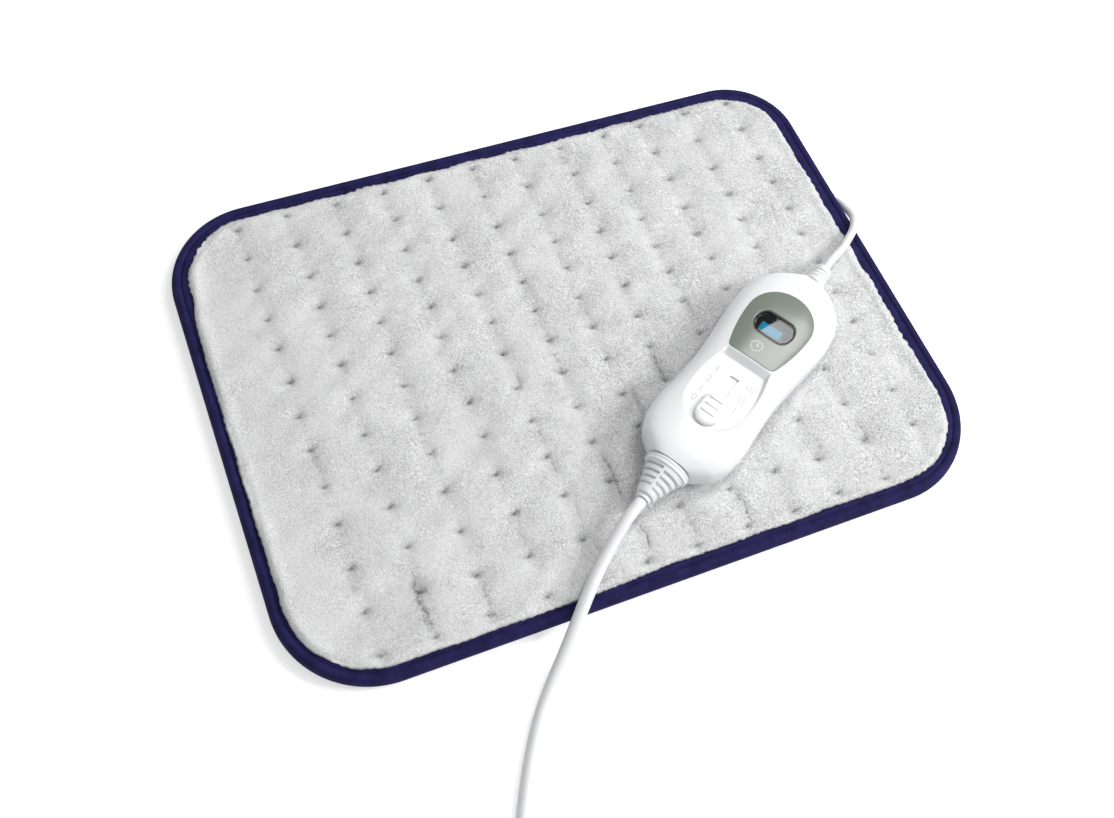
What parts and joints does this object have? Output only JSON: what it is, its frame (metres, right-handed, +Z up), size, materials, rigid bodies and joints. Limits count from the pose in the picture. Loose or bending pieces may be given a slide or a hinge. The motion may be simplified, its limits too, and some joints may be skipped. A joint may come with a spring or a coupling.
{
  "type": "heating pad with controller",
  "caption": "Rounded rectangular quilted heating pad with a bound edge and a corded hand controller with a display window and a slide switch; the mains lead is coiled and ends in a plug.",
  "frame": {"origin": "middle of the pad, on the surface that it lies on", "axes": "+Z up, off the surface; +X along the pad's long side, towards the side where the pad lead comes out; +Y along the short side, away from the free end of the mains lead"},
  "size_m": [0.4067, 0.504, 0.0347],
  "materials": {
    "fleece": "light grey plush, matt",
    "wadding": "white felt, matt",
    "binding": "dark blue tape, matt",
    "heating_wire": "insulated wire",
    "white_shell": "smooth, satin gloss",
    "silver_panel": "grey-green metallic lacquer",
    "window": "black, clear lacquer",
    "screen": "blue backlit display",
    "cord": "white flexible sheath, satin",
    "black_plastic": "matt",
    "amber_plastic": "satin",
    "ceramic": "matt",
    "board": "coated laminate",
    "steel": "plain"
  },
  "bodies": {
    "pad_and_handset": {"pad_bottom_cover": "fleece", "pad_lower_wadding": "wadding", "pad_wire_carrier": "wadding", "heating_wire": "heating_wire", "terminal_box": "white_shell", "pad_lead_inner": "cord", "thermal_cutout_1": "black_plastic", "thermal_cutout_2": "black_plastic", "pad_upper_wadding": "wadding", "pad_top_cover": "fleece", "pad_edge_binding": "binding", "pad_lead": "cord", "pad_strain_relief": "cord", "lower_housing": "white_shell", "upper_housing": "white_shell", "display_panel": "silver_panel", "display_window": "window", "display_screen": "screen", "display_light_box": "white_shell", "slide_switch_case": "black_plastic", "circuit_board": "board", "film_capacitor": "amber_plastic", "power_triac": "black_plastic", "mains_terminal": "ceramic", "pad_terminal": "ceramic", "control_chip": "black_plastic", "fuse_holder": "ceramic", "mains_fuse": "window", "smoothing_capacitor": "black_plastic", "mains_strain_relief": "cord", "mains_lead_tail": "cord", "pad_lead_tail": "cord", "mains_lead_clamp": "white_shell", "pad_lead_clamp": "white_shell", "housing_screw_1": "steel", "housing_screw_2": "steel", "housing_screw_3": "steel", "housing_screw_4": "steel", "clamp_screw_1": "steel", "clamp_screw_2": "steel", "clamp_screw_3": "steel", "clamp_screw_4": "steel", "mains_core_1": "black_plastic", "mains_core_2": "black_plastic", "pad_core_1": "black_plastic", "pad_core_2": "black_plastic", "pad_core_3": "black_plastic", "mains_lead": "cord", "mains_lead_coil": "cord", "mains_lead_end": "cord", "coil_tie": "black_plastic", "plug_body": "cord", "plug_pin_1": "steel", "plug_pin_2": "steel", "pin_sleeve_1": "black_plastic", "pin_sleeve_2": "black_plastic"},
    "slider": {"slide_knob": "white_shell", "slot_shutter": "white_shell", "slide_switch_lever": "black_plastic"}
  },
  "joints": [
    {"name": "heat_slide", "type": "slide", "parent": "pad_and_handset", "child": "slider", "axis": [0.8517, 0.524, 0], "range_m": [0, 0.021]}
  ]
}
